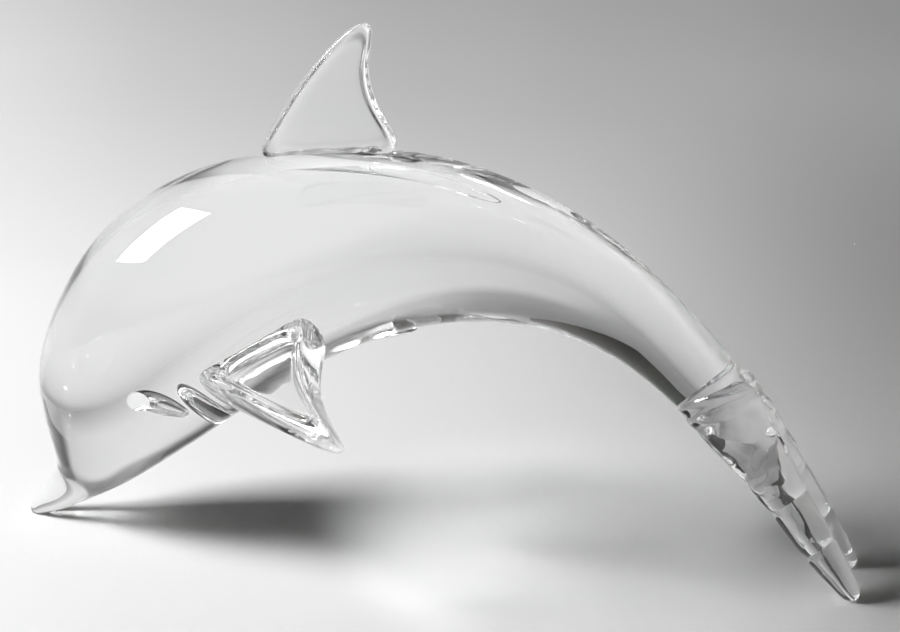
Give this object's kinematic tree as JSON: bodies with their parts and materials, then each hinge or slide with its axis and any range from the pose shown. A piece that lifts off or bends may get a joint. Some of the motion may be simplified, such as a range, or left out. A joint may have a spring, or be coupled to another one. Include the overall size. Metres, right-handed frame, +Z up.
{
  "type": "glass porpoise sculpture",
  "caption": "Solid clear glass sculpture of a leaping porpoise, arched so that it stands on its beak and the tips of its tail lobes.",
  "frame": {"origin": "middle of the bottom of the bounding box, on the surface the sculpture stands on", "axes": "+X from the head towards the tail, +Y towards the animal's right side, which is the far side in the picture, +Z up"},
  "size_m": [0.2482, 0.124, 0.1538],
  "materials": {
    "clear_crystal": "fire-polished, clear"
  },
  "bodies": {
    "root": {"porpoise": "clear_crystal"}
  },
  "joints": []
}
